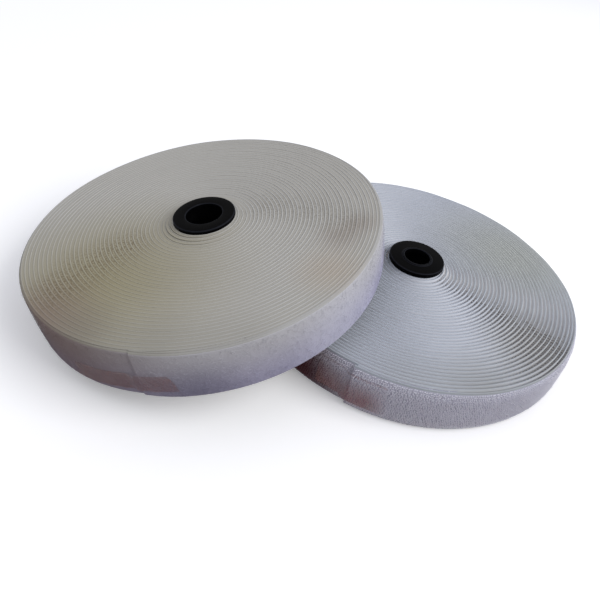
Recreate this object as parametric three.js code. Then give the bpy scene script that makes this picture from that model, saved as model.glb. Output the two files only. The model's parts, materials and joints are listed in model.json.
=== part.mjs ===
// A matched pair of hook and loop tape rolls, the loop roll leaning on the hook roll.
// Millimetres, +Z up. The pair stands on z = 0, with the origin under the middle of its box.
// Each roll is built about its own axis, standing on its lower face, and then placed.

import * as THREE from 'three';

// Tape
const TAPE_WIDTH = 25;
const LOOP_ROLL_RADIUS = 85;
const HOOK_ROLL_RADIUS = 90;

// Winding: each drawn turn stands for about one and a half turns of thinner real tape
const DRAWN_TURNS = 23;
const STEPS_PER_TURN = 24;
const TURN_GAP = 0.45;

// Turns in which the tape comes down from the lower end cap's flange to the flat face
const LIFTED_TURNS = 2;

// Direction of each cut end, in degrees about the roll's axis from +X
const LOOP_CUT_ANGLE = -109;
const HOOK_CUT_ANGLE = -124;

// Steps of the last turn that peel away as the free end
const TAIL_STEPS = 2;

// Core: a barrel with an end cap plugged into each end
const BARREL_RADIUS = 13;
const BARREL_WALL = 2;
const SPIGOT_WALL = 1.7;
const SPIGOT_END_GAP = 6;
const FLANGE_THICKNESS = 1.5;
const HOOK_UPPER_FLANGE_THICKNESS = 2.5;
const LOOP_FLANGE_OVERHANG = 0.6;
const HOOK_FLANGE_OVERHANG = 1;
const LOOP_BORE_SHOULDER = 0.4;
const HOOK_BORE_SHOULDER = 2;

// Raised bead round the hook core's bore
const BEAD_HEIGHT = 0.5;
const BEAD_WIDTH = 1;

const CORE_SEGMENTS = 40;

// Adhesive strip that holds the inner end of the tape on the barrel
const STARTER_THICKNESS = 0.4;
const STARTER_STEPS = 4;
const STARTER_MARGIN = 3;

// Clear adhesive film over each cut end, drawn thicker than the real film
const FILM_THICKNESS = 0.4;
const FILM_SLOPE = 3;
const LOOP_FILM_ON_TAIL = 14;
const LOOP_FILM_PAST_CUT = 26;
const LOOP_FILM_WIDTH = 12.5;
const LOOP_FILM_FOOT = 0.6;
const HOOK_FILM_ON_TAIL = 19;
const HOOK_FILM_PAST_CUT = 16;
const HOOK_FILM_WIDTH = 17;
const HOOK_FILM_FOOT = 5;

// Clearance between pieces that seat on each other
const SEAT_GAP = 0.3;

// Where the underside of the loop roll meets the rim of the hook roll, out from the loop roll's axis
const LEAN_CONTACT = 19.6;

const FULL_TURN = 2 * Math.PI;
const HALF_TURN_DEGREES = 180;

const barrelBore = BARREL_RADIUS - BARREL_WALL;
const spigotRadius = barrelBore - SEAT_GAP;
const spigotBore = spigotRadius - SPIGOT_WALL;
const windingBore = BARREL_RADIUS + SEAT_GAP + STARTER_THICKNESS + SEAT_GAP;
const liftAtCore = FLANGE_THICKNESS + SEAT_GAP;
const spigotLength = (TAPE_WIDTH - SPIGOT_END_GAP) / 2;
const coreLength = liftAtCore + TAPE_WIDTH + liftAtCore;

const loopSpec = {
  radius: LOOP_ROLL_RADIUS,
  cutAngle: LOOP_CUT_ANGLE,
  flangeRadius: windingBore + LOOP_FLANGE_OVERHANG,
  bore: spigotBore - LOOP_BORE_SHOULDER,
  upperFlange: FLANGE_THICKNESS,
  beadHeight: 0,
  film: {
    onTail: LOOP_FILM_ON_TAIL,
    pastCut: LOOP_FILM_PAST_CUT,
    width: LOOP_FILM_WIDTH,
    foot: LOOP_FILM_FOOT,
  },
};

const hookSpec = {
  radius: HOOK_ROLL_RADIUS,
  cutAngle: HOOK_CUT_ANGLE,
  flangeRadius: windingBore + HOOK_FLANGE_OVERHANG,
  bore: spigotBore - HOOK_BORE_SHOULDER,
  upperFlange: HOOK_UPPER_FLANGE_THICKNESS,
  beadHeight: BEAD_HEIGHT,
  film: {
    onTail: HOOK_FILM_ON_TAIL,
    pastCut: HOOK_FILM_PAST_CUT,
    width: HOOK_FILM_WIDTH,
    foot: HOOK_FILM_FOOT,
  },
};

const corePlastic = new THREE.MeshStandardMaterial({ color: 0x1d1d20, roughness: 0.5, metalness: 0 });
const loopTape = new THREE.MeshStandardMaterial({ color: 0xdad8d2, roughness: 0.95, metalness: 0 });
const hookTape = new THREE.MeshStandardMaterial({ color: 0xd6d8de, roughness: 0.8, metalness: 0 });
const starterAdhesive = new THREE.MeshStandardMaterial({ color: 0xe6dfc8, roughness: 0.6, metalness: 0 });
const clearFilm = new THREE.MeshStandardMaterial({
  color: 0xe9e4e0,
  roughness: 0.2,
  metalness: 0,
  transparent: true,
  opacity: 0.5,
});

// The tape runs clockwise seen from above, so the angle falls as the turns are counted outwards.

function pitchOf(roll) {
  return (roll.radius + TURN_GAP - windingBore) / (DRAWN_TURNS + 1);
}

function angleAt(roll, turn) {
  return THREE.MathUtils.degToRad(roll.cutAngle) + (DRAWN_TURNS - turn) * FULL_TURN;
}

function innerRadiusAt(roll, turn) {
  return windingBore + pitchOf(roll) * turn;
}

function outerRadiusAt(roll, turn) {
  return innerRadiusAt(roll, turn) + pitchOf(roll) - TURN_GAP;
}

// The outermost turn in a direction given in degrees about the roll's axis.
function lastTurnTowards(roll, degrees) {
  const pastCut = THREE.MathUtils.euclideanModulo(degrees - roll.cutAngle, 360) / 360;
  return DRAWN_TURNS - pastCut;
}

// Radius of the faceted outer wall, which is straight between two steps.
function wallRadiusAt(roll, turn) {
  const step = Math.floor(turn * STEPS_PER_TURN + 1e-6);
  const before = outerRadiusAt(roll, step / STEPS_PER_TURN);
  const after = outerRadiusAt(roll, (step + 1) / STEPS_PER_TURN);
  const whole = FULL_TURN / STEPS_PER_TURN;
  const part = (turn - step / STEPS_PER_TURN) * FULL_TURN;
  return (before * after * Math.sin(whole)) / (before * Math.sin(part) + after * Math.sin(whole - part));
}

// Turns before the inner wall of the strip, straight between two steps, is clear of the flanges.
function turnsUnderFlange(roll) {
  const facetDip = Math.cos(Math.PI / STEPS_PER_TURN);
  return ((roll.flangeRadius + SEAT_GAP) / facetDip - windingBore) / pitchOf(roll);
}

function liftAt(roll, turn) {
  const settling = Math.max(0, turn - turnsUnderFlange(roll)) / LIFTED_TURNS;
  return liftAtCore * Math.max(0, 1 - settling) ** 2;
}

// One closed strip through a list of stations, each with an angle, two radii and two heights.
function ribbon(stations) {
  const positions = [];
  for (const { angle, inner, outer, bottom, top } of stations) {
    const x = Math.cos(angle);
    const y = Math.sin(angle);
    positions.push(inner * x, inner * y, bottom);
    positions.push(outer * x, outer * y, bottom);
    positions.push(outer * x, outer * y, top);
    positions.push(inner * x, inner * y, top);
  }
  const corners = 4;
  const index = [];
  for (let station = 0; station < stations.length - 1; station += 1) {
    const near = station * corners;
    const far = near + corners;
    for (let side = 0; side < corners; side += 1) {
      const next = (side + 1) % corners;
      index.push(near + side, near + next, far + next);
      index.push(near + side, far + next, far + side);
    }
  }
  const last = (stations.length - 1) * corners;
  index.push(0, 2, 1, 0, 3, 2);
  index.push(last, last + 1, last + 2, last, last + 2, last + 3);
  const geometry = new THREE.BufferGeometry();
  geometry.setAttribute('position', new THREE.Float32BufferAttribute(positions, 3));
  geometry.setIndex(index);
  geometry.computeVertexNormals();
  return geometry;
}

function tapeStation(roll, turn) {
  const lift = liftAt(roll, turn);
  return {
    angle: angleAt(roll, turn),
    inner: innerRadiusAt(roll, turn),
    outer: outerRadiusAt(roll, turn),
    bottom: lift,
    top: lift + TAPE_WIDTH,
  };
}

function windingStations(roll) {
  const steps = DRAWN_TURNS * STEPS_PER_TURN - TAIL_STEPS;
  const stations = [];
  for (let step = 0; step <= steps; step += 1) {
    stations.push(tapeStation(roll, step / STEPS_PER_TURN));
  }
  return stations;
}

function tailGeometry(roll) {
  const hinge = DRAWN_TURNS - TAIL_STEPS / STEPS_PER_TURN;
  const clearance = SEAT_GAP / (FULL_TURN * roll.radius);
  const stations = [tapeStation(roll, hinge + clearance)];
  for (let step = 1; step <= TAIL_STEPS; step += 1) {
    stations.push(tapeStation(roll, hinge + step / STEPS_PER_TURN));
  }
  return ribbon(stations);
}

// The film lies on the tail, bridges the cut and comes down on the turn below.
function filmGeometry(roll) {
  const turnLength = FULL_TURN * roll.radius;
  const cut = DRAWN_TURNS;
  const edge = cut + SEAT_GAP / turnLength;
  const landing = edge + FILM_SLOPE / turnLength;
  const start = cut - roll.film.onTail / turnLength;
  const end = cut + roll.film.pastCut / turnLength;
  const places = [start, cut, edge, landing, end];
  for (let step = Math.ceil(start * STEPS_PER_TURN); step < end * STEPS_PER_TURN; step += 1) {
    const turn = step / STEPS_PER_TURN;
    if (turn < cut || turn > landing) {
      places.push(turn);
    }
  }
  places.sort((first, second) => first - second);
  const stations = places.map((turn) => {
    const wall = turn > edge ? wallRadiusAt(roll, turn - 1) : wallRadiusAt(roll, Math.min(turn, cut));
    return {
      angle: angleAt(roll, turn),
      inner: wall + SEAT_GAP,
      outer: wall + SEAT_GAP + FILM_THICKNESS,
      bottom: roll.film.foot,
      top: roll.film.foot + roll.film.width,
    };
  });
  return ribbon(stations);
}

function starterGeometry(roll) {
  const stations = [];
  for (let step = 0; step <= STARTER_STEPS; step += 1) {
    stations.push({
      angle: angleAt(roll, step / STEPS_PER_TURN),
      inner: BARREL_RADIUS + SEAT_GAP,
      outer: BARREL_RADIUS + SEAT_GAP + STARTER_THICKNESS,
      bottom: liftAtCore + STARTER_MARGIN,
      top: liftAtCore + TAPE_WIDTH - STARTER_MARGIN,
    });
  }
  return ribbon(stations);
}

// A ring turned from a closed outline of radius and height pairs, listed anticlockwise.
function turned(outline) {
  const points = outline.map(([radius, height]) => new THREE.Vector2(radius, height));
  points.push(points[0].clone());
  const geometry = new THREE.LatheGeometry(points, CORE_SEGMENTS);
  geometry.rotateX(Math.PI / 2);
  return geometry;
}

function barrelGeometry() {
  const foot = liftAtCore;
  const head = liftAtCore + TAPE_WIDTH;
  return turned([
    [barrelBore, foot],
    [BARREL_RADIUS, foot],
    [BARREL_RADIUS, head],
    [barrelBore, head],
  ]);
}

// The upper end cap: a flange over the tape, a spigot in the barrel and, on the hook core, a bead.
function capGeometry(roll, flangeThickness, beadHeight) {
  const flangeFoot = liftAtCore + TAPE_WIDTH + SEAT_GAP;
  const flangeTop = flangeFoot + flangeThickness;
  const spigotFoot = flangeFoot - SEAT_GAP - spigotLength;
  const outline = [
    [roll.bore, flangeFoot],
    [spigotBore, flangeFoot],
    [spigotBore, spigotFoot],
    [spigotRadius, spigotFoot],
    [spigotRadius, flangeFoot],
    [roll.flangeRadius, flangeFoot],
    [roll.flangeRadius, flangeTop],
  ];
  if (beadHeight > 0) {
    outline.push([roll.bore + BEAD_WIDTH, flangeTop]);
    outline.push([roll.bore + BEAD_WIDTH / 2, flangeTop + beadHeight]);
  }
  outline.push([roll.bore, flangeTop]);
  return turned(outline);
}

// The lower end cap is the upper one turned over, plain below so that the roll stands flat.
function lowerCapGeometry(roll) {
  const geometry = capGeometry(roll, FLANGE_THICKNESS, 0);
  geometry.rotateX(Math.PI);
  geometry.translate(0, 0, coreLength);
  return geometry;
}

function buildRoll(roll, prefix, tapeMaterial) {
  const group = new THREE.Group();
  const winding = windingStations(roll);
  const pieces = [
    ['core_barrel', barrelGeometry(), corePlastic],
    ['core_cap_upper', capGeometry(roll, roll.upperFlange, roll.beadHeight), corePlastic],
    ['core_cap_lower', lowerCapGeometry(roll), corePlastic],
    ['starter_strip', starterGeometry(roll), starterAdhesive],
    ['tape_winding', ribbon(winding), tapeMaterial],
    ['tape_end', tailGeometry(roll), tapeMaterial],
    ['closing_film', filmGeometry(roll), clearFilm],
  ];
  for (const [name, geometry, material] of pieces) {
    const mesh = new THREE.Mesh(geometry, material);
    mesh.name = `${prefix}_${name}`;
    group.add(mesh);
  }
  console.log(`${prefix} winding, least gap to itself: ${leastGap(winding).toFixed(3)} mm`);
  return group;
}

// Least distance from points on the outer wall to the inner wall of the next turn out.
function leastGap(stations) {
  const at = (angle, radius) => new THREE.Vector3(radius * Math.cos(angle), radius * Math.sin(angle), 0);
  const outerWall = stations.map(({ angle, outer }) => at(angle, outer));
  const innerWall = stations.map(({ angle, inner }) => at(angle, inner));
  const nearest = new THREE.Vector3();
  let least = Infinity;
  for (let step = 1; step + STEPS_PER_TURN < stations.length - 1; step += 1) {
    const points = [outerWall[step], outerWall[step].clone().lerp(outerWall[step + 1], 0.5)];
    for (let next = step + STEPS_PER_TURN - 1; next <= step + STEPS_PER_TURN; next += 1) {
      const wall = new THREE.Line3(innerWall[next], innerWall[next + 1]);
      for (const point of points) {
        wall.closestPointToPoint(point, true, nearest);
        least = Math.min(least, point.distanceTo(nearest));
      }
    }
  }
  return least;
}

const hookRoll = buildRoll(hookSpec, 'hook', hookTape);
const loopRoll = buildRoll(loopSpec, 'loop', loopTape);

// The loop roll stands on the floor with its far edge and lies on the near rim of the hook roll.
const floorRadius = wallRadiusAt(loopSpec, lastTurnTowards(loopSpec, HALF_TURN_DEGREES));
const rimRadius = wallRadiusAt(hookSpec, lastTurnTowards(hookSpec, HALF_TURN_DEGREES));
const lean = Math.asin((TAPE_WIDTH + SEAT_GAP) / (floorRadius + LEAN_CONTACT));
loopRoll.rotation.y = -lean;
loopRoll.position.x = -rimRadius - LEAN_CONTACT * Math.cos(lean);
loopRoll.position.z -= new THREE.Box3().setFromObject(loopRoll, true).min.z;

const rolls = new THREE.Group();
rolls.add(hookRoll, loopRoll);
const middle = new THREE.Box3().setFromObject(rolls, true).getCenter(new THREE.Vector3());
rolls.position.set(-middle.x, -middle.y, 0);

const pair = new THREE.Group();
pair.add(rolls);

export default pair;
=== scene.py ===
"""A matched pair of hook and loop tape rolls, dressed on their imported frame.

Each roll is drawn in its own millimetres, standing on its lower face with its axis along z,
and is then put where the frame has it.
"""

import json
import math

import bpy
import numpy as np
from mathutils import Matrix, Vector


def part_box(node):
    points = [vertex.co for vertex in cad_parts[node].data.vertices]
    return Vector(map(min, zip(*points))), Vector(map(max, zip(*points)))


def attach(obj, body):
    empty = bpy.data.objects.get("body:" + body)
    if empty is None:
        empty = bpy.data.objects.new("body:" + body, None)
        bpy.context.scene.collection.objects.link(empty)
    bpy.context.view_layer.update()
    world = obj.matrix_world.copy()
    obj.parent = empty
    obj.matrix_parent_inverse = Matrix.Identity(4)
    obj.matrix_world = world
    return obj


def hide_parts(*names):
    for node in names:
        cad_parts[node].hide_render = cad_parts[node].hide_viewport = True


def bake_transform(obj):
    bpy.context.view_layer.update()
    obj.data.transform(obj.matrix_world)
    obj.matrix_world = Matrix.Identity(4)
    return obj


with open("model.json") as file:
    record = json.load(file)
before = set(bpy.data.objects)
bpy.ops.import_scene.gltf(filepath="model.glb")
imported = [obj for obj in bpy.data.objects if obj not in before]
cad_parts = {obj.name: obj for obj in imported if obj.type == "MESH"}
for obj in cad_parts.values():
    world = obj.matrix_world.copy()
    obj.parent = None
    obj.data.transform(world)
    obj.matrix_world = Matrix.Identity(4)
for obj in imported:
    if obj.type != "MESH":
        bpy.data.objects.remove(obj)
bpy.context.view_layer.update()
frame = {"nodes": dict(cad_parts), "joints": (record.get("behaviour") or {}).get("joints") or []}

MM = 0.001
SEED = 25

# Tape and core, as in the frame
TAPE_WIDTH = 25.0
WINDING_BORE = 14.0
FLANGE_THICKNESS = 1.5
SEAT_GAP = 0.3
LIFT_AT_CORE = FLANGE_THICKNESS + SEAT_GAP
CORE_LENGTH = TAPE_WIDTH + 2 * LIFT_AT_CORE
SPIGOT_RADIUS = 10.7
SPIGOT_BORE = 9.0
SPIGOT_LENGTH = 9.5
SETTLING_WIDTH = 6.5

# The first turn is pressed thin over the inner end, by this share of the tape's thickness
PRESSED = 0.6

# How the winding strays from an even spiral: waves round a turn, and the width over which each drifts
STRAY_WAVES = (2, 3, 5, 8)
STRAY_DRIFTS = (9, 7, 5, 4)

# How the upper edge rises and falls: lengths of its waves along the tape, and the share of each
RAGGED_LENGTHS = (173, 71, 31, 13)
RAGGED_SHARES = (0.4, 0.3, 0.2, 0.1)

# Phases drawn for each roll. The waves above take the first eight.
PHASES = 12

# Outer turns whose edges lean in, and the lengths before the cut along which the upper edge leans in further
# and the tape sinks
TUCKED_TURNS = 2.5
LEANING_LENGTH = 40.0
SINKING_LENGTH = 20.0

# Length past the cut in which the film comes down on the turn below
CUT_STEP = 5.0

# Where the turns are pulled tight, in degrees round the roll: the middle, the reach to either side, and the
# width of the change
TIGHT_MIDDLE = 13.0
TIGHT_REACH = 61.0
TIGHT_FADE = 24.0

# Part of the last turn, in degrees, that peels away as the free end, the length in which it would bend,
# though nothing here bends it, and the hair's breadth between it and the wound tape
FREE_END = 30.0
BEND_LENGTH = 18.0
HAIR = 0.02

# How near the cut the hooks and loops end
SHORT_OF_CUT = 0.8

# Along the tape: longest step of the mesh, and widest angle of one step near the core
STEP = 3.2
STEP_ANGLE = math.radians(6)

# The photograph's camera, from a fit of both rims and both cores. Angles are in degrees, places in
# millimetres from the foot of the hook roll's axis.
CAMERA_AIM = (-38.306, 29.844, 0.0)
CAMERA_DISTANCE = 325.3
CAMERA_AZIMUTH = -17.285
CAMERA_ELEVATION = 36.244
CAMERA_ROLL = -13.218
PHOTO_SIZE = 600
PHOTO_FOCAL = 546.9
PHOTO_MIDDLE = (329.07, 262.33)
SENSOR = 36.0
CAMERA_CLIP = (0.01, 50)


def eased(share):
    """A share, kept within 0 and 1 and eased at both ends."""
    share = np.clip(share, 0, 1)
    return share**2 * (3 - 2 * share)


class Roll:
    """A wound tape and its place in the frame."""

    def __init__(self, name, axis, **sizes):
        """Sizes are in millimetres, and the angle of the cut in degrees."""
        low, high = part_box(f"{name}_core_barrel")
        axis = Vector(axis).normalized()
        side = Vector((axis.z, 0, -axis.x))
        self.name = name
        self.foot = np.array((low + high) / 2 - axis * CORE_LENGTH / 2 * MM)
        self.turned = np.array([side, axis.cross(side), axis]).T
        self.__dict__.update(sizes)
        self.pitch = (self.radius - WINDING_BORE) / (self.turns + 1 - PRESSED)
        self.free_from = self.turns - FREE_END / 360
        self.bare_from = self.free_from - 1
        self.draw = np.random.default_rng(SEED + len(name) + int(self.radius))
        self.phases = self.draw.uniform(0, math.tau, PHASES)

    def placed(self, points):
        """Points of the roll's own millimetres, in the frame's metres."""
        return np.asarray(points) * MM @ self.turned.T + self.foot

    def angle(self, turn):
        """The tape runs clockwise seen from above, so the angle falls as the turns go outwards."""
        return math.radians(self.cut) + (self.turns - turn) * math.tau

    def arc(self, turn):
        """Length of tape from its inner end."""
        return math.tau * (WINDING_BORE * turn + self.pitch * turn**2 / 2)

    def spiral(self, turn):
        """Radius of the tape's back, if it were wound quite evenly."""
        return WINDING_BORE + self.pitch * (turn - PRESSED * np.minimum(turn, 1))

    def wander(self, turn):
        """How far the winding is from that spiral, much the same on neighbouring turns."""
        angle = self.angle(turn)
        radius = self.spiral(turn)
        total = 0
        for waves, drift, size, phase in zip(STRAY_WAVES, STRAY_DRIFTS, self.give, self.phases):
            total = total + size * np.sin(waves * angle + radius / drift + phase)
        return total * np.clip(turn / self.turns, 0, 1)

    def inner(self, turn):
        """Radius of the tape's back as it is really wound."""
        return self.spiral(turn) + self.wander(turn)

    def lift(self, turn):
        """The turns next to the core ride up on the flange of the lower cap."""
        clear = self.spiral(turn) - self.flange - SEAT_GAP
        settled = np.clip(clear / SETTLING_WIDTH, 0, 1)
        return LIFT_AT_CORE * (1 - settled) ** 2

    def ragged(self, turn):
        """How far the upper edge stands proud or low along the tape."""
        arc = self.arc(turn)
        total = 0
        phases = self.phases[len(STRAY_WAVES) :]
        for length, share, phase in zip(RAGGED_LENGTHS, RAGGED_SHARES, phases):
            total = total + share * np.sin(math.tau * arc / length + phase)
        return total * self.uneven

    def groove(self, turn):
        """How deep the gap beside the tape's edges is: shallow where the turns are pulled tight."""
        away = np.abs((np.degrees(self.angle(turn)) - TIGHT_MIDDLE + 180) % 360 - 180)
        return self.loose + (self.tight - self.loose) * eased((TIGHT_REACH - away) / TIGHT_FADE)

    def past_cut(self, turn):
        """0 on the tape, rising to 1 where the film beyond the cut has come down on the turn below."""
        return eased((turn - self.turns) * math.tau * self.radius / CUT_STEP)

    def outermost(self, turn):
        """0 deep in the winding, rising to 1 at the end of its last turn."""
        return np.clip(1 - (self.turns - turn + self.past_cut(turn)) / TUCKED_TURNS, 0, 1) ** 2

    def tuck(self, turn, height):
        """How far the edges of the outer turns lean in, so that the roll bulges a little, and the upper edge
        most of all beside the cut."""
        edge = np.clip(1 - np.minimum(height, TAPE_WIDTH - height) / self.tuck_width, 0, 1)
        from_cut = (self.turns - turn) * math.tau * self.radius
        beside_cut = np.clip(1 - from_cut / LEANING_LENGTH, 0, 1) * (1 - self.past_cut(turn))
        beside_cut = beside_cut * (height > TAPE_WIDTH / 2)
        return self.outermost(turn) * edge**2 * (self.tucked + self.pressed * beside_cut**2)

    def at(self, turn, out, height):
        """A point on the tape: out from its back, and up from its lower edge."""
        turn, out, height = np.broadcast_arrays(turn, out, height)
        angle = self.angle(turn)
        from_cut = (self.turns - turn) * math.tau * self.radius
        sink = self.sunk * np.clip(1 - from_cut / SINKING_LENGTH, 0, 1) ** 2
        radius = self.inner(turn) + out - self.tuck(turn, height) - sink * (1 - self.past_cut(turn))
        proud = self.ragged(turn) - self.slump * self.outermost(turn)
        level = height + self.lift(turn) + proud * height / TAPE_WIDTH
        return np.stack([radius * np.cos(angle), radius * np.sin(angle), level], -1)

    def stations(self, first, last):
        """Turns at which the tape is drawn, close enough together to look round."""
        turns = [first]
        while turns[-1] < last:
            radius = self.spiral(turns[-1])
            turns.append(turns[-1] + min(STEP_ANGLE, STEP / radius) / math.tau)
        turns[-1] = last
        return np.array(turns)


hook_axis = (0, 0, 1)
loop_axis = next(j["axis"] for j in frame["joints"] if j["name"] == "loop_tape_end_peel")

# Line by line: the outside of the roll, its turns and its cut. The core's radii, the height of its bead and
# how far its upper flange stands proud. The ribbon's thickness, its bare edge, the depth of the gaps beside
# it and the pile on the outer turn. How far the winding strays, and how ragged its edge is. How wide and how
# far the outer edges lean in, how far the last turn slumps, how far its end leans and sinks, and the gap
# under the film.
hook_roll = Roll(
    "hook", hook_axis, radius=90.0, turns=37.6, cut=-124.0,
    flange=15.0, bore=7.0, bead=0.5, proud=1.0,
    base=0.5, selvedge=0.4, loose=3.3, tight=1.5, outer_pile=0.1,
    give=(0.25, 0.15, 0.1, 0.06), uneven=0.25,
    tuck_width=7.0, tucked=0.8, slump=0.6, pressed=0.3, sunk=0.1, film_gap=1.6,
)
loop_roll = Roll(
    "loop", loop_axis, radius=85.0, turns=37.7, cut=-109.0,
    flange=14.6, bore=8.6, bead=0.0, proud=0.0,
    base=0.65, selvedge=0.4, loose=0.16, tight=0.16, outer_pile=0.8,
    give=(0.2, 0.15, 0.1, 0.06), uneven=0.08,
    tuck_width=10.0, tucked=0.9, slump=0.0, pressed=0.2, sunk=0.7, film_gap=0.2,
)


# Materials


def linear(code):
    """An sRGB hex colour as linear RGBA."""
    parts = [int(code[i : i + 2], 16) / 255 for i in (1, 3, 5)]
    return [p / 12.92 if p <= 0.04045 else ((p + 0.055) / 1.055) ** 2.4 for p in parts] + [1]


def node(tree, kind, inputs=None, **settings):
    """Adds a node. An input that is a socket is linked, and any other value is set."""
    made = tree.nodes.new(kind)
    for name, value in settings.items():
        setattr(made, name, value)
    for key, value in (inputs or {}).items():
        if isinstance(value, bpy.types.NodeSocket):
            tree.links.new(value, made.inputs[key])
        else:
            made.inputs[key].default_value = value
    return made


def new_material(name):
    """An empty node material, with its tree and its output."""
    made = bpy.data.materials.new(name)
    made.use_nodes = True
    made.node_tree.nodes.clear()
    return made, made.node_tree, node(made.node_tree, "ShaderNodeOutputMaterial")


# A wave texture repeats every tenth of pi over its scale
WAVE = math.pi / 10


def patch(tree, place, roll, middle, reach):
    """A soft-edged round mask about a point that is given as radius, angle and height on a roll."""
    radius, degrees, height = middle
    angle = math.radians(degrees)
    centre = roll.placed([radius * math.cos(angle), radius * math.sin(angle), height])
    away = node(tree, "ShaderNodeVectorMath", {0: place, 1: centre.tolist()}, operation="DISTANCE")
    return node(
        tree, "ShaderNodeMapRange",
        {"Value": away.outputs["Value"], "From Min": reach * MM, "From Max": 0.0},
        interpolation_type="SMOOTHSTEP",
    ).outputs["Result"]


def with_patches(tree, place, colour, patches, flecks=1.0):
    """A colour with soft patches laid over it, or flecks of them: stains and yellowing, and painted light
    and shade.
    """
    for roll, middle, reach, patch_colour, amount in patches:
        mask = patch(tree, place, roll, middle, reach)
        broken = node(tree, "ShaderNodeMath", {0: mask, 1: flecks}, operation="MULTIPLY")
        painted_over = node(tree, "ShaderNodeMath", {0: broken.outputs[0], 1: amount}, operation="MULTIPLY")
        colour = node(
            tree, "ShaderNodeMix",
            {"Factor": painted_over.outputs[0], "A": colour.outputs["Result"], "B": linear(patch_colour)},
            data_type="RGBA",
        )
    return colour


def woven_nylon(name, pale, shade, rib, patches):
    """Woven nylon ribbon: matt, with a rib across the tape, a little uneven in colour, with stains and
    painted light and shade laid over it.

    Real picks are about 0.4 mm apart. They are drawn 0.9 mm apart so that they show.
    """
    cloud_width, pick_spacing, pick_depth = 22 * MM, 0.9 * MM, 0.15 * MM
    made, tree, output = new_material(name)
    place = node(tree, "ShaderNodeTexCoord").outputs["Object"]
    along = node(tree, "ShaderNodeUVMap", uv_map="tape").outputs["UV"]
    cloud = node(tree, "ShaderNodeTexNoise", {"Vector": place, "Scale": 1 / cloud_width, "Detail": 4.0})
    colour = node(
        tree, "ShaderNodeMix", {"Factor": cloud.outputs["Fac"], "A": linear(shade), "B": linear(pale)},
        data_type="RGBA",
    )
    colour = with_patches(tree, place, colour, patches)
    picks = node(
        tree, "ShaderNodeTexWave",
        {"Vector": along, "Scale": WAVE / pick_spacing, "Distortion": 1.5, "Detail": 1.0},
        bands_direction="X",
    )
    bump = node(
        tree, "ShaderNodeBump", {"Strength": rib, "Distance": pick_depth, "Height": picks.outputs["Fac"]}
    )
    surface = node(
        tree, "ShaderNodeBsdfPrincipled",
        {
            "Base Color": colour.outputs["Result"], "Roughness": 0.85, "IOR": 1.53,
            "Specular IOR Level": 0.25, "Normal": bump.outputs["Normal"],
        },
    )
    tree.links.new(surface.outputs["BSDF"], output.inputs["Surface"])
    return made


def brushed_loops(name, pale, shade, rim, sheen, patches, soil_and_shade):
    """Brushed nylon loop pile: soft, with clumps about a millimetre across and a faint sheen, with painted
    light:
    it shades into the rim colour towards the upper edge, lighter there and darker low down."""
    clump_width, clump_depth, cloud_width = 0.8 * MM, 0.4 * MM, 14 * MM
    made, tree, output = new_material(name)
    tape = node(tree, "ShaderNodeUVMap", uv_map="tape").outputs["UV"]
    up = node(tree, "ShaderNodeSeparateXYZ", {"Vector": tape}).outputs["Y"]
    painted_light_upward = node(
        tree, "ShaderNodeMapRange",
        {"Value": up, "From Max": TAPE_WIDTH * MM},
        interpolation_type="SMOOTHSTEP",
    )
    place = node(tree, "ShaderNodeTexCoord").outputs["Object"]
    clumps = node(tree, "ShaderNodeTexNoise", {"Vector": place, "Scale": 1 / clump_width, "Detail": 3.0})
    cloud = node(tree, "ShaderNodeTexNoise", {"Vector": place, "Scale": 1 / cloud_width, "Detail": 3.0})
    mixed = node(
        tree, "ShaderNodeMath", {0: clumps.outputs["Fac"], 1: cloud.outputs["Fac"]}, operation="ADD"
    )
    level = node(
        tree, "ShaderNodeMapRange", {"Value": mixed.outputs[0], "From Min": 0.7, "From Max": 1.3}
    )
    colour = node(
        tree, "ShaderNodeMix", {"Factor": level.outputs["Result"], "A": linear(shade), "B": linear(pale)},
        data_type="RGBA",
    )
    # Painted light: the pile shades into the rim colour towards the upper edge, lighter there and darker low
    # down
    painted_over = node(
        tree, "ShaderNodeMix",
        {"Factor": painted_light_upward.outputs["Result"], "A": colour.outputs["Result"], "B": linear(rim)},
        data_type="RGBA",
    )
    painted_over = with_patches(tree, place, painted_over, patches)
    # Dirt and painted shade: darker flecks of pile within the patches given
    flecks = node(
        tree, "ShaderNodeMapRange", {"Value": clumps.outputs["Fac"], "From Min": 0.4, "From Max": 0.6}
    )
    painted_over = with_patches(tree, place, painted_over, soil_and_shade, flecks.outputs["Result"])
    bump = node(
        tree, "ShaderNodeBump", {"Strength": 0.15, "Distance": clump_depth, "Height": clumps.outputs["Fac"]}
    )
    surface = node(
        tree, "ShaderNodeBsdfPrincipled",
        {
            "Base Color": painted_over.outputs["Result"], "Roughness": 0.95, "IOR": 1.53,
            "Specular IOR Level": 0.1, "Sheen Weight": sheen, "Sheen Roughness": 0.5,
            "Normal": bump.outputs["Normal"],
        },
    )
    tree.links.new(surface.outputs["BSDF"], output.inputs["Surface"])
    return made


def nylon_monofilament(name, pale, shade, patches):
    """Drawn nylon monofilament, cut into hooks: a faint gloss, lighter or darker from hook to hook, with any
    patches of painted shadow given laid over it.
    """
    cloud_width = 3 * MM
    made, tree, output = new_material(name)
    place = node(tree, "ShaderNodeTexCoord").outputs["Object"]
    cloud = node(tree, "ShaderNodeTexNoise", {"Vector": place, "Scale": 1 / cloud_width, "Detail": 2.0})
    colour = node(
        tree, "ShaderNodeMix", {"Factor": cloud.outputs["Fac"], "A": linear(shade), "B": linear(pale)},
        data_type="RGBA",
    )
    colour = with_patches(tree, place, colour, patches)
    surface = node(
        tree, "ShaderNodeBsdfPrincipled",
        {"Base Color": colour.outputs["Result"], "Roughness": 0.45, "IOR": 1.53, "Specular IOR Level": 0.4},
    )
    tree.links.new(surface.outputs["BSDF"], output.inputs["Surface"])
    return made


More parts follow.
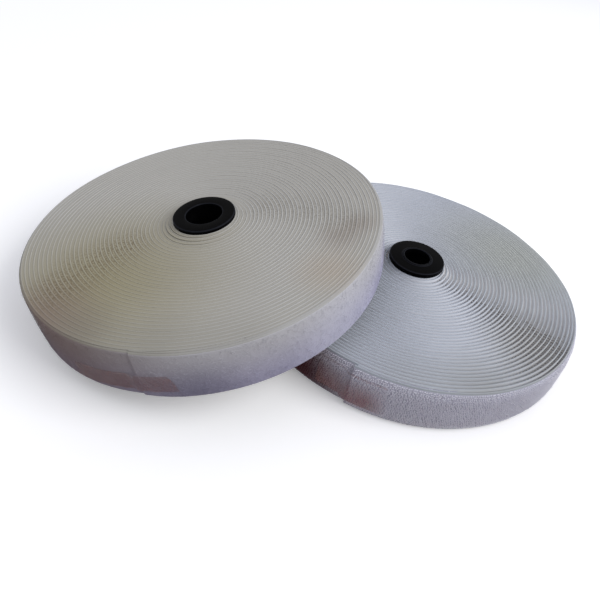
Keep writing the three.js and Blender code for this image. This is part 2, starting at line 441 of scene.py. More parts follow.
def moulded_polypropylene(name, dark, dusty):
    """Black moulded polypropylene: satin, with a fine mould grain, and dusty in soft patches.

    The grain is about 0.1 mm across. It is drawn at 0.5 mm so that it shows.
    """
    dust_width, grain_width, grain_depth = 5 * MM, 0.5 * MM, 0.05 * MM
    made, tree, output = new_material(name)
    place = node(tree, "ShaderNodeTexCoord").outputs["Object"]
    dust = node(tree, "ShaderNodeTexNoise", {"Vector": place, "Scale": 1 / dust_width, "Detail": 5.0})
    grain = node(tree, "ShaderNodeTexNoise", {"Vector": place, "Scale": 1 / grain_width, "Detail": 2.0})
    film = node(
        tree, "ShaderNodeMapRange",
        {"Value": dust.outputs["Fac"], "From Min": 0.5, "From Max": 0.8, "To Max": 0.5},
    )
    colour = node(
        tree, "ShaderNodeMix", {"Factor": film.outputs["Result"], "A": linear(dark), "B": linear(dusty)},
        data_type="RGBA",
    )
    rough = node(
        tree, "ShaderNodeMapRange", {"Value": dust.outputs["Fac"], "To Min": 0.35, "To Max": 0.6}
    )
    bump = node(
        tree, "ShaderNodeBump", {"Strength": 0.2, "Distance": grain_depth, "Height": grain.outputs["Fac"]}
    )
    surface = node(
        tree, "ShaderNodeBsdfPrincipled",
        {
            "Base Color": colour.outputs["Result"], "Roughness": rough.outputs["Result"], "IOR": 1.49,
            "Specular IOR Level": 0.025, "Normal": bump.outputs["Normal"],
        },
    )
    tree.links.new(surface.outputs["BSDF"], output.inputs["Surface"])
    return made


def clear_film(name, brown, hazy, pale, least, most):
    """Clear polypropylene film: glossy, brown where its glue has wetted the tape, most of all low down, hazy
    past the cut, and pale along its upper edge, where it has lifted, in faint painted glints.

    Places on the film are measured from its right end and down from its upper edge.
    """
    blotch_width, glint_width, lifted_width = 4 * MM, 1.5 * MM, 1.5 * MM
    wet_length, dry_above, wet_below = 10 * MM, -2 * MM, -14 * MM
    haze_start, haze_end = 17 * MM, 28 * MM
    made, tree, output = new_material(name)
    place = node(tree, "ShaderNodeTexCoord").outputs["Object"]
    sheet = node(tree, "ShaderNodeUVMap", uv_map="tape").outputs["UV"]
    along = node(tree, "ShaderNodeSeparateXYZ", {"Vector": sheet})
    wetted = node(tree, "ShaderNodeTexNoise", {"Vector": place, "Scale": 1 / blotch_width, "Detail": 3.0})
    onward = node(tree, "ShaderNodeMapRange", {"Value": along.outputs["X"], "From Max": wet_length})
    down = node(
        tree, "ShaderNodeMapRange",
        {"Value": along.outputs["Y"], "From Min": dry_above, "From Max": wet_below},
    )
    wet = node(
        tree, "ShaderNodeMath", {0: onward.outputs["Result"], 1: down.outputs["Result"]},
        operation="MULTIPLY",
    )
    glued = node(
        tree, "ShaderNodeMapRange", {"Value": wet.outputs[0], "To Min": least, "To Max": most}
    )
    past = node(
        tree, "ShaderNodeMapRange",
        {"Value": along.outputs["X"], "From Min": haze_start, "From Max": haze_end},
    )
    glue = node(
        tree, "ShaderNodeMix", {"Factor": past.outputs["Result"], "A": linear(brown), "B": linear(hazy)},
        data_type="RGBA",
    )
    uneven = node(
        tree, "ShaderNodeMapRange",
        {"Value": wetted.outputs["Fac"], "From Min": 0.25, "From Max": 0.75, "To Min": 0.8, "To Max": 1.2},
    )
    seen = node(
        tree, "ShaderNodeMath", {0: glued.outputs["Result"], 1: uneven.outputs["Result"]},
        operation="MULTIPLY",
    )
    glints = node(tree, "ShaderNodeTexNoise", {"Vector": place, "Scale": 1 / glint_width, "Detail": 1.0})
    near_edge = node(
        tree, "ShaderNodeMapRange",
        {"Value": along.outputs["Y"], "From Min": -lifted_width, "From Max": 0.0, "To Max": 0.3},
    )
    # Painted glints: pale in noise along the upper edge
    lifted = node(
        tree, "ShaderNodeMath", {0: near_edge.outputs["Result"], 1: glints.outputs["Fac"]},
        operation="MULTIPLY",
    )
    colour = node(
        tree, "ShaderNodeMix",
        {"Factor": lifted.outputs[0], "A": glue.outputs["Result"], "B": linear(pale)},
        data_type="RGBA",
    )
    shown = node(tree, "ShaderNodeMath", {0: seen.outputs[0], 1: lifted.outputs[0]}, operation="MAXIMUM")
    surface = node(
        tree, "ShaderNodeBsdfPrincipled",
        {
            "Base Color": colour.outputs["Result"], "Roughness": 0.25, "IOR": 1.49,
            "Specular IOR Level": 0.25, "Alpha": shown.outputs[0],
        },
    )
    tree.links.new(surface.outputs["BSDF"], output.inputs["Surface"])
    return made


def adhesive_strip(name, cream, amber):
    """Double-sided adhesive on a paper carrier: cream, blotched where it is thicker."""
    blotch_width = 4 * MM
    made, tree, output = new_material(name)
    place = node(tree, "ShaderNodeTexCoord").outputs["Object"]
    blotch = node(tree, "ShaderNodeTexNoise", {"Vector": place, "Scale": 1 / blotch_width, "Detail": 3.0})
    colour = node(
        tree, "ShaderNodeMix", {"Factor": blotch.outputs["Fac"], "A": linear(cream), "B": linear(amber)},
        data_type="RGBA",
    )
    surface = node(
        tree, "ShaderNodeBsdfPrincipled", {"Base Color": colour.outputs["Result"], "Roughness": 0.5}
    )
    tree.links.new(surface.outputs["BSDF"], output.inputs["Surface"])
    return made


# Patches of stain and of painted light and shade: the roll, the middle as radius, angle and height, the
# reach, the colour and how strong it is
# Painted shade on the face of the hook roll: greyer along the rim from the front to the right, where the
# lamp catches it, and in the wedge where the gaps between turns show; and a broad patch on the right, greyer
# and warmer
hook_painted_shade = [
    (hook_roll, (87, -108, 25), 30, "#8c8c84", 0.2),
    (hook_roll, (87, -85, 25), 34, "#8c8c84", 0.4),
    (hook_roll, (87, -60, 25), 34, "#8c8c84", 0.35),
    (hook_roll, (87, -35, 25), 30, "#8c8c84", 0.15),
    (hook_roll, (68, -52, 25), 34, "#a8a498", 0.4),
    (hook_roll, (66, 12, 25), 70, "#c3c5b8", 0.6),
]
hook_ribbon = woven_nylon("woven nylon, hook tape", "#b6bdc7", "#abb2bc", 0.03, hook_painted_shade)
# Stains and painted shade on the face of the loop roll: a broad patch to the left, yellowed and darker,
# which is yellowing and painted shade; painted shade on the left rim and along the front rim; and brown
# stains towards the right
loop_stains_and_painted_shade = [
    (loop_roll, (55, -140, 25), 76, "#91875c", 0.65),
    (loop_roll, (86, -140, 25), 36, "#7c6660", 0.6),
    (loop_roll, (66, -25, 25), 16, "#86766a", 0.35),
    (loop_roll, (73, -16, 25), 12, "#86766a", 0.3),
    (loop_roll, (72, -44, 25), 22, "#b09a80", 0.3),
    (loop_roll, (84, -125, 25), 26, "#7c766c", 0.5),
    (loop_roll, (84, -103, 25), 30, "#86837a", 0.4),
    (loop_roll, (84, -82, 25), 26, "#86837a", 0.3),
]
# Dirt and painted shade in the pile between turns: darker flecks along two wedges from the core, to the left
# and to the right, where the gaps look darkest
loop_soil_and_shade = [
    (loop_roll, (37, -162, 25), 20, "#6a5c44", 0.65),
    (loop_roll, (56, -154, 25), 24, "#6a5c44", 0.65),
    (loop_roll, (72, -149, 25), 20, "#6a5c44", 0.65),
    (loop_roll, (31, 8, 25), 18, "#7c766c", 0.6),
    (loop_roll, (50, -5, 25), 22, "#7c766c", 0.6),
    (loop_roll, (66, -15, 25), 20, "#7c766c", 0.6),
]
# Painted light and shade on the band of the loop roll: lighter low on the right, facing the lamp, darker low
# at the front, and darker and browner towards the left end, away from the lamp
loop_band_painted_light_and_shade = [
    (loop_roll, (85, -52, 4), 34, "#d6d8e6", 0.42),
    (loop_roll, (85, -93, 0), 24, "#4a4660", 0.42),
    (loop_roll, (88, -138, 25), 70, "#7e5c48", 0.66),
    (loop_roll, (88, -165, 8), 45, "#4a2e2c", 0.7),
]
# Painted shadow: dark maroon patches on the band of the hook roll at its left end, about the cut, where the
# loop roll shades it
hook_band_painted_shadow = [
    (hook_roll, (90, -143, 7), 30, "#6a2c34", 1.0),
    (hook_roll, (90, -140, 4), 20, "#56202a", 1.0),
    (hook_roll, (90, -130, -4), 14, "#56202a", 1.0),
]
loop_ribbon = woven_nylon("woven nylon, loop tape", "#b9b8b4", "#aeada9", 0.03, loop_stains_and_painted_shade)
# Painted light: the flanks in the gaps between turns are lighter copies of the ribbon, against the shade
# that falls there
hook_flank_painted_light = woven_nylon("woven nylon, hook tape flanks", "#dcdee4", "#d2d4da", 0.05, hook_painted_shade)
loop_flank_painted_light = woven_nylon("woven nylon, loop tape flanks", "#c6c4be", "#bcb9b3", 0.05, loop_stains_and_painted_shade)
# Painted shade: the rims of the outer turns are darker copies of the ribbon, where the lamp catches the edge
hook_rim_painted_shade = woven_nylon("woven nylon, rim of the hook roll", "#b0b6be", "#a5abb3", 0.05, hook_painted_shade)
loop_rim_painted_shade = woven_nylon("woven nylon, rim of the loop roll", "#b0afac", "#a5a4a1", 0.05, loop_stains_and_painted_shade)
hook_ground = woven_nylon("woven nylon, under the hooks", "#cacad7", "#bebecc", 0.15, hook_band_painted_shadow)
hook_shade = nylon_monofilament("nylon hooks, deep between turns", "#dcdada", "#cac8c8", [])
hook_rungs = nylon_monofilament("nylon hooks, near the faces", "#e2dcd6", "#d0cac4", [])
hook_wire = nylon_monofilament("nylon hooks, outer turn", "#f0f0f7", "#dcdce5", hook_band_painted_shadow)
loop_shade = brushed_loops(
    "nylon loops, between turns", "#aeaba3", "#a09c94", "#aeaba3", 0.0, loop_stains_and_painted_shade, loop_soil_and_shade
)
loop_pile = brushed_loops(
    "nylon loops, outer turn", "#b0afc6", "#9a99b2", "#bcbcbf", 0.15, loop_band_painted_light_and_shade, []
)
core_plastic = moulded_polypropylene("moulded polypropylene", "#040405", "#0e0e10")
# Painted highlight: a greyer copy of the black polypropylene, for the cap edges that catch the light
core_painted_highlight = moulded_polypropylene("moulded polypropylene, worn edges", "#1d1e23", "#34363c")
hook_film = clear_film("clear film, hook roll", "#a03c28", "#b88480", "#d8d6da", 0.0, 0.24)
loop_film = clear_film("clear film, loop roll", "#8e4820", "#a06a50", "#d8d6da", 0.14, 0.2)
starter_adhesive = adhesive_strip("adhesive strip", "#e6dfc8", "#cdbf98")


# Pieces


def piece(roll, name, points, faces, materials, kinds=None, across=None, crease=40):
    """A smooth mesh from points in the roll's millimetres. Across gives each point's place on the tape."""
    mesh = bpy.data.meshes.new(name)
    mesh.from_pydata(roll.placed(points).tolist(), [], faces)
    for material in materials:
        mesh.materials.append(material)
    if kinds is not None:
        mesh.polygons.foreach_set("material_index", np.asarray(kinds, dtype=np.int32))
    mesh.polygons.foreach_set("use_smooth", np.ones(len(mesh.polygons), dtype=bool))
    mesh.set_sharp_from_angle(angle=math.radians(crease))
    corners = np.zeros(len(mesh.loops), dtype=np.int32)
    mesh.loops.foreach_get("vertex_index", corners)
    if across is not None:
        layer = mesh.uv_layers.new(name="tape")
        layer.data.foreach_set("uv", (np.asarray(across) * MM)[corners].astype(np.float32).ravel())
    mesh.update()
    made = bpy.data.objects.new(name, mesh)
    bpy.context.scene.collection.objects.link(made)
    return made


# Out and up round the ribbon's edge, and how far the edge is rounded
HALF_ROUND = [(0, 1), (0.15, 0.3), (0.5, 0), (0.85, 0.3), (1, 1)]
EDGE_ROUNDING = 0.15

# Out and up along the edge of the pile: rounded off on the outer turn, and filling the gap between turns,
# which it all but closes
ROUNDED_PILE = [(0, 0), (0.6, 0.15), (0.9, 0.5), (1, 1)]
FILLING_PILE = [(0, 0.05), (0.35, 0), (0.7, 0), (1, 0.03)]
PILE_CLEARANCE = 0.03


def tape_section(roll, inset, pile, shoulder):
    """Half round edges, a flat back, and the pile standing on the front. Pairs of out and height."""
    half = [(roll.base * out, EDGE_ROUNDING * up) for out, up in HALF_ROUND]
    half += [(roll.base + pile * out, inset + up) for out, up in shoulder]
    return np.array(half + [(out, TAPE_WIDTH - height) for out, height in reversed(half)])


# What each side of that section is: 0 edge, 1 flank in a groove, drawn lighter as painted light, 2 pile in a
# groove, 3 pile outside, 4 rim, drawn darker as painted shade
COVERED_SIDES = [0, 0, 0, 0, 1, 2, 2, 2, 2, 2, 2, 2, 1, 0, 0, 0, 0, 1]
BARE_SIDES = [4, 4, 4, 4, 4, 4, 4, 3, 3, 3, 4, 4, 4, 4, 4, 4, 4, 1]
SIDES_UNDER_END = [0, 0, 0, 0, 1, 1, 1, 3, 3, 3, 1, 1, 1, 0, 0, 0, 0, 1]

# Part of a turn in which the section changes where the outer turn begins
SECTION_CHANGE = 0.0005


def wound_strip(roll, first, last):
    """Points, faces, kinds and tape coordinates of the tape from one turn to another."""
    turns = roll.stations(first, last)
    if first < roll.bare_from < last:
        turns = np.sort(np.append(turns, [roll.bare_from, roll.bare_from + SECTION_CHANGE]))
    room = roll.inner(turns + 1) - roll.inner(turns) - roll.base - PILE_CLEARANCE
    outer = turns > roll.bare_from
    section = np.array(
        [
            tape_section(roll, roll.selvedge, roll.outer_pile, ROUNDED_PILE) if bare
            else tape_section(roll, depth, pile, FILLING_PILE)
            for bare, pile, depth in zip(outer, room, roll.groove(turns))
        ]
    )
    points = roll.at(turns[:, None], section[..., 0], section[..., 1])
    across = np.stack(np.broadcast_arrays(roll.arc(turns)[:, None], section[..., 1]), -1)
    count, sides = section.shape[:2]
    near = np.arange(count - 1)[:, None] * sides
    side = np.arange(sides)[None]
    after = (side + 1) % sides
    quads = np.stack([near + side, near + after, near + sides + after, near + sides + side], -1)
    faces = quads.reshape(-1, 4).tolist()
    under_end = (turns > roll.bare_from) & (turns <= roll.turns - 1)
    kinds = np.where(outer[1:, None], [BARE_SIDES], [COVERED_SIDES])
    kinds = np.where(under_end[1:, None], [SIDES_UNDER_END], kinds).ravel().tolist()
    ends = [list(range(sides))[::-1], list(range((count - 1) * sides, count * sides))]
    return points.reshape(-1, 3), faces + ends, kinds + [0, 0], across.reshape(-1, 2)


def tubes(paths, flat, thick, sides):
    """Closed wires along many short paths, each lying square to its own flat direction."""
    count, length, _ = paths.shape
    along = np.gradient(paths, axis=1)
    along /= np.linalg.norm(along, axis=2, keepdims=True)
    flat = np.broadcast_to(flat[:, None], paths.shape)
    other = np.cross(along, flat)
    rings = [
        paths + thick / 2 * (math.cos(a) * flat + math.sin(a) * other)
        for a in (math.tau * s / sides for s in range(sides))
    ]
    points = np.stack(rings, axis=2).reshape(-1, 3)
    start = np.arange(count)[:, None, None] * length * sides
    ring = np.arange(length - 1)[None, :, None] * sides
    side = np.arange(sides)[None, None]
    near, after = start + ring + side, start + ring + (side + 1) % sides
    quads = np.stack([near, near + sides, after + sides, after], -1).reshape(-1, 4)
    first = start[:, 0] + np.arange(sides)[None]
    last = first + (length - 1) * sides
    return points, quads.tolist() + first.tolist() + last[:, ::-1].tolist()


def bend_with_free_end(roll, made):
    """Works out the free end's root and the end of its bend, which nothing uses, and bakes the piece's
    transform into its mesh. Nothing here makes it bend.
    """
    root, past = roll.free_from, roll.free_from + BEND_LENGTH / (math.tau * roll.radius)
    start, end = (roll.placed(roll.at(t, roll.pitch, TAPE_WIDTH / 2)) for t in (root, past))
    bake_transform(made)


def tape_pieces(roll, materials):
    """The wound tape, and the free end of its last turn."""
    past = roll.free_from + HAIR / (math.tau * roll.radius)
    for first, last, label in ((0, roll.free_from, "wound"), (past, roll.turns, "free_end")):
        points, faces, kinds, across = wound_strip(roll, first, last)
        made = piece(roll, f"{roll.name}_tape_{label}", points, faces, materials, kinds, across)
        if label == "wound":
            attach(made, f"{roll.name}_roll")
            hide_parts(f"{roll.name}_tape_winding")
        else:
            bend_with_free_end(roll, made)
            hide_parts(f"{roll.name}_tape_end")


# Cut monofilament hooks: spacing along and across the tape, thickness, reach, and the share of the spacing
# by which each row is set on
HOOK_SPACING = 1.1
HOOK_ROW = 0.88
HOOK_THICK = 0.34
HOOK_REACH = 0.62
TWILL = 0.35

# The outline of a hook in shares of its reach and height, and how much both vary
HOOK_ALONG = (0, 0.08, 0.55, 1.0)
HOOK_UP = (-0.1, 0.7, 1.0, 0.72)
HOOK_REACHES = (0.8, 1.1)
HOOK_HEIGHTS = (0.7, 0.9)

# How far hooks stray along and across, how far the rows keep from the lower and the upper bare edge, and the
# share of their height at the edge, with the width over which a whole height is gained
HOOK_STRAY = (0.16, 0.15)
ROW_MARGINS = (0.4, 0.3)
EDGE_HEIGHT = 0.2
EDGE_WIDTH = 5.0


def hook_rows(roll, first, last, label, material):
    """Hooks on the outer turn, each row set on a little from the one below, so that they make a twill."""
    height = roll.pitch - roll.base
    turn_length = math.tau * roll.radius
    low, high = ROW_MARGINS
    rows = np.arange(roll.selvedge + low, TAPE_WIDTH - roll.selvedge - high, HOOK_ROW)
    along = np.arange(first * turn_length // HOOK_SPACING, last * turn_length // HOOK_SPACING + 1)
    place, row = (grid.ravel() for grid in np.meshgrid(along * HOOK_SPACING, np.arange(len(rows))))
    stray_along, stray_across = HOOK_STRAY
    place = place + (row * TWILL % 1) * HOOK_SPACING + roll.draw.normal(0, stray_along, place.shape)
    end = min(last * turn_length, roll.turns * turn_length - SHORT_OF_CUT)
    inside = (place > first * turn_length) & (place < end)
    place, row = place[inside], row[inside]
    turn = place / turn_length
    across = rows[row] + roll.draw.normal(0, stray_across, place.shape)
    way = np.where(row % 2 == 0, 1, -1) * roll.draw.uniform(*HOOK_REACHES, place.shape)
    reach = np.array(HOOK_ALONG) * HOOK_REACH
    rise = np.array(HOOK_UP) * height
    from_edge = np.minimum(across, TAPE_WIDTH - across) - roll.selvedge
    full = np.clip(EDGE_HEIGHT + from_edge / EDGE_WIDTH, 0, 1)
    tall = (roll.draw.uniform(*HOOK_HEIGHTS, place.shape) * full)[:, None]
    paths = roll.at(
        turn[:, None] + way[:, None] * reach / turn_length, roll.base + rise * tall, across[:, None]
    )
    flat = np.tile([0.0, 0.0, 1.0], (len(place), 1))
    points, faces = tubes(paths, flat, HOOK_THICK, 3)
    return piece(roll, label, points, faces, [material], crease=80)


# Hooks near a face, seen in the gaps between turns: spacing, thickness, depth below the edge, how far they
# stray, how far they reach into the tape at root and tip, how far from the inner end they start, and the
# change in a gap's depth in which they thin out. They are wider apart than the other hooks, because a gap is
# seen along its length.
RUNG_SPACING = 2.2
RUNG_THICK = 0.55
RUNG_DEPTH = 2.7
RUNG_STRAY = 0.12
RUNG_ENDS = (0.1, 0.05)
FIRST_RUNG = 6
RUNG_FADE = 0.9


def edge_rows(roll, level, label, material):
    """The row of hooks next to a face, which bridge the gap from turn to turn where it is open."""
    step = RUNG_SPACING / (math.tau * roll.radius)
    arcs = np.arange(FIRST_RUNG, roll.arc(roll.bare_from), RUNG_SPACING)
    turn = (-WINDING_BORE + np.sqrt(WINDING_BORE**2 + arcs * roll.pitch / math.pi)) / roll.pitch
    turn = turn[roll.groove(turn) > roll.loose - roll.draw.uniform(0, RUNG_FADE, turn.shape)]
    lean = roll.draw.normal(0, RUNG_STRAY, turn.shape) * step
    drop = roll.draw.normal(0, RUNG_STRAY, turn.shape)
    at_root, at_tip = RUNG_ENDS
    root = roll.at(turn, roll.base - at_root, level + drop)
    tip = roll.at(turn + lean, roll.pitch - at_tip, level + drop)
    paths = np.stack([root, tip], axis=1)
    flat = np.tile([0.0, 0.0, 1.0], (len(paths), 1))
    points, faces = tubes(paths, flat, RUNG_THICK, 5)
    return piece(roll, label, points, faces, [material], crease=80)


# Brushed loops: how many lie on a square centimetre, how thick they are, half their length, how far they
# bow, how high they rise, how deep they are rooted and how far they keep from the edges
LOOPS_PER_CM2 = 125
LOOP_THICK = 0.05
LOOP_REACH = (0.4, 0.9)
LOOP_BOW = 0.4
LOOP_RISE = (0.07, 0.13)
LOOP_ROOT = 0.06
LOOP_MARGIN = 0.1

# The share of loops that stand up, and how many times higher they rise
STANDING = 0.04
STANDING_RISE = 4


def loop_field(roll, first, last, label, material):
    """Brushed loops on the outer turn: short curls that lie every way."""
    turn_length = math.tau * roll.radius
    length = (last - first) * turn_length
    width = TAPE_WIDTH - 2 * roll.selvedge
    count = int(length * width / 100 * LOOPS_PER_CM2)
    turn = roll.draw.uniform(first, min(last, roll.turns - SHORT_OF_CUT / turn_length), count)
    inset = roll.selvedge + LOOP_MARGIN
    across = roll.draw.uniform(inset, TAPE_WIDTH - inset, count)
    way = roll.draw.uniform(0, math.tau, count)
    reach = roll.draw.uniform(*LOOP_REACH, count)[:, None]
    bow = roll.draw.uniform(-LOOP_BOW, LOOP_BOW, count)[:, None]
    rise = roll.draw.uniform(*LOOP_RISE, count)
    rise = np.where(roll.draw.uniform(0, 1, count) < STANDING, STANDING_RISE * rise, rise)[:, None]
    forward = np.array([-1, -0.4, 0.4, 1]) * reach
    sideways = np.array([0, 1, 1, 0]) * bow
    cosine, sine = np.cos(way)[:, None], np.sin(way)[:, None]
    onward = (forward * cosine - sideways * sine) / turn_length
    height = across[:, None] + forward * sine + sideways * cosine
    height = np.clip(height, LOOP_MARGIN, TAPE_WIDTH - LOOP_MARGIN)
    from_edge = np.minimum(height, TAPE_WIDTH - height) - roll.selvedge
    outs, ups = zip(*ROUNDED_PILE)
    pile = roll.outer_pile * np.interp(from_edge, ups, outs)
    out = roll.base + pile - LOOP_ROOT + np.array([0, 1, 1, 0]) * rise
    paths = roll.at(turn[:, None] + onward, out, height)
    angle = roll.angle(turn)
    outward = np.stack([np.cos(angle), np.sin(angle), 0 * angle], -1)
    sides = 3
    points, faces = tubes(paths, outward, LOOP_THICK, sides)
    onto = np.stack([roll.arc(turn[:, None] + onward), height], -1).reshape(-1, 2)
    onto = np.repeat(onto, sides, axis=0)
    return piece(roll, label, points, faces, [material], across=onto, crease=80)


def dress_outer_turn(roll, field, material):
    """Hooks or loops on the outer turn: a back half, a front half and the free end."""
    half_way = (roll.bare_from + roll.free_from) / 2
    label = f"{roll.name}_field"
    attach(field(roll, roll.bare_from, half_way, f"{label}_back", material), f"{roll.name}_roll")
    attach(field(roll, half_way, roll.free_from, f"{label}_front", material), f"{roll.name}_roll")
    bend_with_free_end(roll, field(roll, roll.free_from, roll.turns, f"{label}_free_end", material))


# Closing film: steps along and up, thickness, its ripples as height and waves along and up, and the curl of
# its upper edge as height and waves along
FILM_STEPS = (48, 12)
FILM_THICK = 0.08
FILM_RIPPLES = ((0.036, 0.9, 0.35), (0.024, 0.37, -0.8))
FILM_CURL = (0.1, 2.1)


def closing_film(roll, material, on_tail, past_cut, foot, head, tilt, slants, corner):
    """The clear film: it lies on the free end, bridges the cut and comes down on the turn below.

    It reaches so far on the tail and past the cut, from foot to head, and is tilted up towards the tail. Its
    ends slant, and its corner on the tail is cut away.
    """
    columns, rows = FILM_STEPS
    turn_length = math.tau * roll.radius
    u = np.linspace(0, 1, columns)[:, None]
    v = np.linspace(0, 1, rows)[None]
    right, left = slants
    start = -on_tail + right * v + corner * v**5
    end = past_cut + left * v
    place = start + (end - start) * u
    height = foot + (head - foot) * v + tilt * (1 - u)
    turn = roll.turns + place / turn_length
    drop = roll.pitch * roll.past_cut(turn)
    ripple = sum(size * np.sin(place * along + height * up) for size, along, up in FILM_RIPPLES)
    curl_height, curl_waves = FILM_CURL
    curl = curl_height * v**6 * (0.5 + 0.5 * np.sin(place * curl_waves))
    out = roll.base + roll.outer_pile + roll.film_gap + ripple + curl - drop
    top = roll.at(turn, out + FILM_THICK, height).reshape(-1, 3)
    under = roll.at(turn, out, height).reshape(-1, 3)
    points = np.concatenate([top, under])
    sheet = np.stack(np.broadcast_arrays(place + on_tail, (head - foot) * (v - 1)), -1)
    sheet = np.tile(sheet.reshape(-1, 2), (2, 1))
    index = np.arange(columns * rows).reshape(columns, rows)
    flip = columns * rows
    cells = np.stack([index[:-1, :-1], index[:-1, 1:], index[1:, 1:], index[1:, :-1]], -1).reshape(-1, 4)
    faces = cells.tolist() + (cells[:, ::-1] + flip).tolist()
    rim = np.concatenate([index[0], index[1:, -1], index[-1, -2::-1], index[-2:0:-1, 0]])
    after = np.roll(rim, -1)
    faces += np.stack([after, rim, rim + flip, after + flip], -1).tolist()
    made = piece(roll, f"{roll.name}_film", points, faces, [material], across=sheet)
    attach(made, f"{roll.name}_tail")
    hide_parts(f"{roll.name}_closing_film")


# Core: steps round it and round each corner, and how far the bead's foot and top are from the bore
CORE_STEPS = 96
CORNER_STEPS = 4
BEAD_FOOT = 1.4
BEAD_TOP = 1.0


def rounded(corners):
    """An outline with its corners rounded: each corner is a radius, a height and how far it is rounded."""
    outline = []
    for index, (x, z, reach) in enumerate(corners):
        here = np.array([x, z])
        before = np.array(corners[index - 1][:2]) - here
        after = np.array(corners[(index + 1) % len(corners)][:2]) - here
        enter = here + before / np.linalg.norm(before) * reach
        leave = here + after / np.linalg.norm(after) * reach
        for t in np.linspace(0, 1, CORNER_STEPS):
            outline.append((1 - t) ** 2 * enter + 2 * t * (1 - t) * here + t**2 * leave)
    return np.array(outline)


def core_cap(roll, label, node_name, flipped, proud, bead):
    """A moulded end cap: a flange over the tape, a spigot in the barrel and a lip round the bore."""
    under = CORE_LENGTH - FLANGE_THICKNESS
    top = CORE_LENGTH + proud
    spigot_foot = under - SEAT_GAP - SPIGOT_LENGTH
    corners = [
        (roll.bore, under, 0.3),
        (SPIGOT_BORE, under, 0.1),
        (SPIGOT_BORE, spigot_foot, 0.2),
        (SPIGOT_RADIUS, spigot_foot, 0.3),
        (SPIGOT_RADIUS, under, 0.1),
        (roll.flange, under, 0.2),
        (roll.flange, top, 0.5),
    ]
    # From here on the roundings, of the flange's outer top edge, the bead and the lip, take the painted
    # highlight
    first_highlighted = len(corners) - 1
    if bead:
        corners += [(roll.bore + BEAD_FOOT, top, 0.2), (roll.bore + BEAD_TOP, top + bead, 0.2)]
    corners += [(roll.bore, top + bead, 0.4)]
    outline = rounded(corners)
    count = len(outline)
    painted_over = np.zeros(count, dtype=int)
    for corner in range(first_highlighted, len(corners)):
        painted_over[CORNER_STEPS * corner : CORNER_STEPS * (corner + 1) - 1] = 1
    angle = np.arange(CORE_STEPS)[:, None] * math.tau / CORE_STEPS
    radius, level = outline[:, 0][None], outline[:, 1][None] + 0 * angle
    if flipped:
        level = CORE_LENGTH - level
    points = np.stack([radius * np.cos(angle), radius * np.sin(angle), level], -1).reshape(-1, 3)
    start = np.arange(CORE_STEPS)[:, None] * count
    onward = (np.arange(CORE_STEPS)[:, None] + 1) % CORE_STEPS * count
    side = np.arange(count)[None]
    after = (side + 1) % count
    quads = np.stack([start + side, onward + side, onward + after, start + after], -1).reshape(-1, 4)
    if flipped:
        quads = quads[:, ::-1]
    made = piece(
        roll, label, points, quads.tolist(), [core_plastic, core_painted_highlight],
        np.tile(painted_over, CORE_STEPS), crease=50,
    )
    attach(made, f"{roll.name}_roll")
    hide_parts(node_name)


def core_pieces(roll):
    """Both caps of a core, and the finish of its barrel and of the strip that starts the tape."""
    core_cap(roll, f"{roll.name}_cap_top", f"{roll.name}_core_cap_upper", False, roll.proud, roll.bead)
    core_cap(roll, f"{roll.name}_cap_base", f"{roll.name}_core_cap_lower", True, 0.0, 0.0)
    for name, material in (("core_barrel", core_plastic), ("starter_strip", starter_adhesive)):
        mesh = frame["nodes"][f"{roll.name}_{name}"].data
        mesh.materials.clear()
        mesh.materials.append(material)


tape_pieces(hook_roll, [hook_ribbon, hook_flank_painted_light, hook_shade, hook_ground, hook_rim_painted_shade])
tape_pieces(loop_roll, [loop_ribbon, loop_flank_painted_light, loop_shade, loop_pile, loop_rim_painted_shade])
core_pieces(hook_roll)
core_pieces(loop_roll)
dress_outer_turn(hook_roll, hook_rows, hook_wire)
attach(edge_rows(hook_roll, TAPE_WIDTH - RUNG_DEPTH, "hook_edge_rows_upper", hook_rungs), "hook_roll")
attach(edge_rows(hook_roll, RUNG_DEPTH, "hook_edge_rows_lower", hook_rungs), "hook_roll")
dress_outer_turn(loop_roll, loop_field, loop_pile)
closing_film(
    hook_roll, hook_film, on_tail=19, past_cut=16, foot=5.0, head=22.0, tilt=0.0,
    slants=(1.0, 0.0), corner=2.0,
)
closing_film(
    loop_roll, loop_film, on_tail=15.5, past_cut=32, foot=2.0, head=11.0, tilt=3.2,
    slants=(1.5, -2.0), corner=1.5,
)


# Stage: strengths, lamp power in watts, sizes and places in metres, and colours
ROOM_LIGHT = 0.66
ROOM_COLOUR = "#f4f6ff"
KEY_POWER = 28.0
KEY_SIZE = 1.4
KEY_PLACE = (1.4, -0.78, 1.5)
FLOOR_GLOW = 0.2
FLOOR_REACH = 6.0
FLOOR_COLOUR = "#f8f8f8"
FLOOR_BOUNCE = "#5c4038"


def seen_directly(tree):
    """1 for what the camera sees, also in a gloss or through clear film, and 0 for scattered light."""
    path = node(tree, "ShaderNodeLightPath")
    seen = path.outputs["Is Camera Ray"]
    for kind in ("Is Glossy Ray", "Is Transmission Ray"):
        seen = node(tree, "ShaderNodeMath", {0: seen, 1: path.outputs[kind]}, operation="MAXIMUM").outputs[0]
    return seen


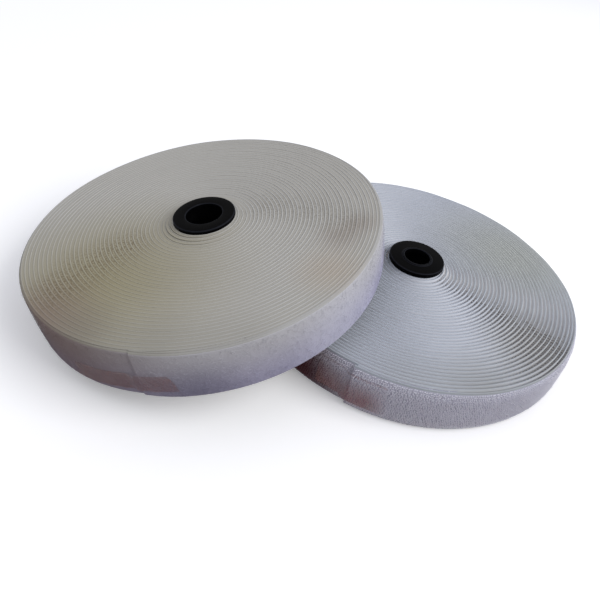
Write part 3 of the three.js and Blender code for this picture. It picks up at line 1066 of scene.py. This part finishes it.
def make_floor():
    """A plain floor, white to the camera with the pair's shadow on it, that throws back dim warm light."""
    mesh = bpy.data.meshes.new("floor")
    corners = [(FLOOR_REACH * x, FLOOR_REACH * y, 0) for x, y in ((-1, -1), (1, -1), (1, 1), (-1, 1))]
    mesh.from_pydata(corners, [], [(0, 1, 2, 3)])
    made, tree, output = new_material("pale floor")
    seen = seen_directly(tree)
    colour = node(
        tree, "ShaderNodeMix", {"Factor": seen, "A": linear(FLOOR_BOUNCE), "B": linear(FLOOR_COLOUR)},
        data_type="RGBA",
    )
    paint = node(tree, "ShaderNodeBsdfDiffuse", {"Color": colour.outputs["Result"]})
    lit = node(tree, "ShaderNodeMath", {0: seen, 1: FLOOR_GLOW}, operation="MULTIPLY")
    glow = node(tree, "ShaderNodeEmission", {"Strength": lit.outputs[0]})
    surface = node(tree, "ShaderNodeAddShader", {0: paint.outputs["BSDF"], 1: glow.outputs["Emission"]})
    tree.links.new(surface.outputs["Shader"], output.inputs["Surface"])
    mesh.materials.append(made)
    floor = bpy.data.objects.new("floor", mesh)
    bpy.context.scene.collection.objects.link(floor)


def make_light():
    """An even room, and one large soft lamp from the right."""
    world = bpy.data.worlds.new("studio")
    bpy.context.scene.world = world
    world.use_nodes = True
    tree = world.node_tree
    tree.nodes.clear()
    room = node(tree, "ShaderNodeBackground", {"Color": linear(ROOM_COLOUR), "Strength": ROOM_LIGHT})
    white = node(tree, "ShaderNodeBackground", {"Strength": 1.0})
    mixed = node(
        tree, "ShaderNodeMixShader",
        {0: seen_directly(tree), 1: room.outputs["Background"], 2: white.outputs["Background"]},
    )
    output = node(tree, "ShaderNodeOutputWorld")
    tree.links.new(mixed.outputs["Shader"], output.inputs["Surface"])
    lamp = bpy.data.lights.new("key", "AREA")
    lamp.energy = KEY_POWER
    lamp.size = KEY_SIZE
    place = Vector(KEY_PLACE)
    key = bpy.data.objects.new("key", lamp)
    key.location = place
    key.rotation_euler = (-place).to_track_quat("-Z", "Y").to_euler()
    bpy.context.scene.collection.objects.link(key)


def make_camera():
    """Looks at the pair from the photograph's side, with the photograph's tilt and field."""
    azimuth, elevation, roll = (
        math.radians(a) for a in (CAMERA_AZIMUTH, CAMERA_ELEVATION, CAMERA_ROLL)
    )
    level = math.cos(elevation)
    ahead = Vector((-math.sin(azimuth) * level, math.cos(azimuth) * level, -math.sin(elevation)))
    right = ahead.cross(Vector((0, 0, 1))).normalized()
    down = ahead.cross(right)
    turned_right = math.cos(roll) * right + math.sin(roll) * down
    turned_down = -math.sin(roll) * right + math.cos(roll) * down
    origin = Vector(hook_roll.foot)
    place = origin + (Vector(CAMERA_AIM) - ahead * CAMERA_DISTANCE) * MM
    data = bpy.data.cameras.new("photograph")
    data.sensor_width = SENSOR
    data.lens = PHOTO_FOCAL / PHOTO_SIZE * SENSOR
    data.shift_x = (PHOTO_SIZE / 2 - PHOTO_MIDDLE[0]) / PHOTO_SIZE
    data.shift_y = (PHOTO_MIDDLE[1] - PHOTO_SIZE / 2) / PHOTO_SIZE
    data.clip_start, data.clip_end = CAMERA_CLIP
    camera = bpy.data.objects.new("photograph", data)
    turn = Matrix((turned_right, -turned_down, -ahead)).transposed()
    camera.matrix_world = Matrix.Translation(place) @ turn.to_4x4()
    bpy.context.scene.collection.objects.link(camera)
    bpy.context.scene.camera = camera


make_floor()
make_light()
make_camera()
bpy.context.scene.view_settings.view_transform = "Standard"

bpy.context.view_layer.update()
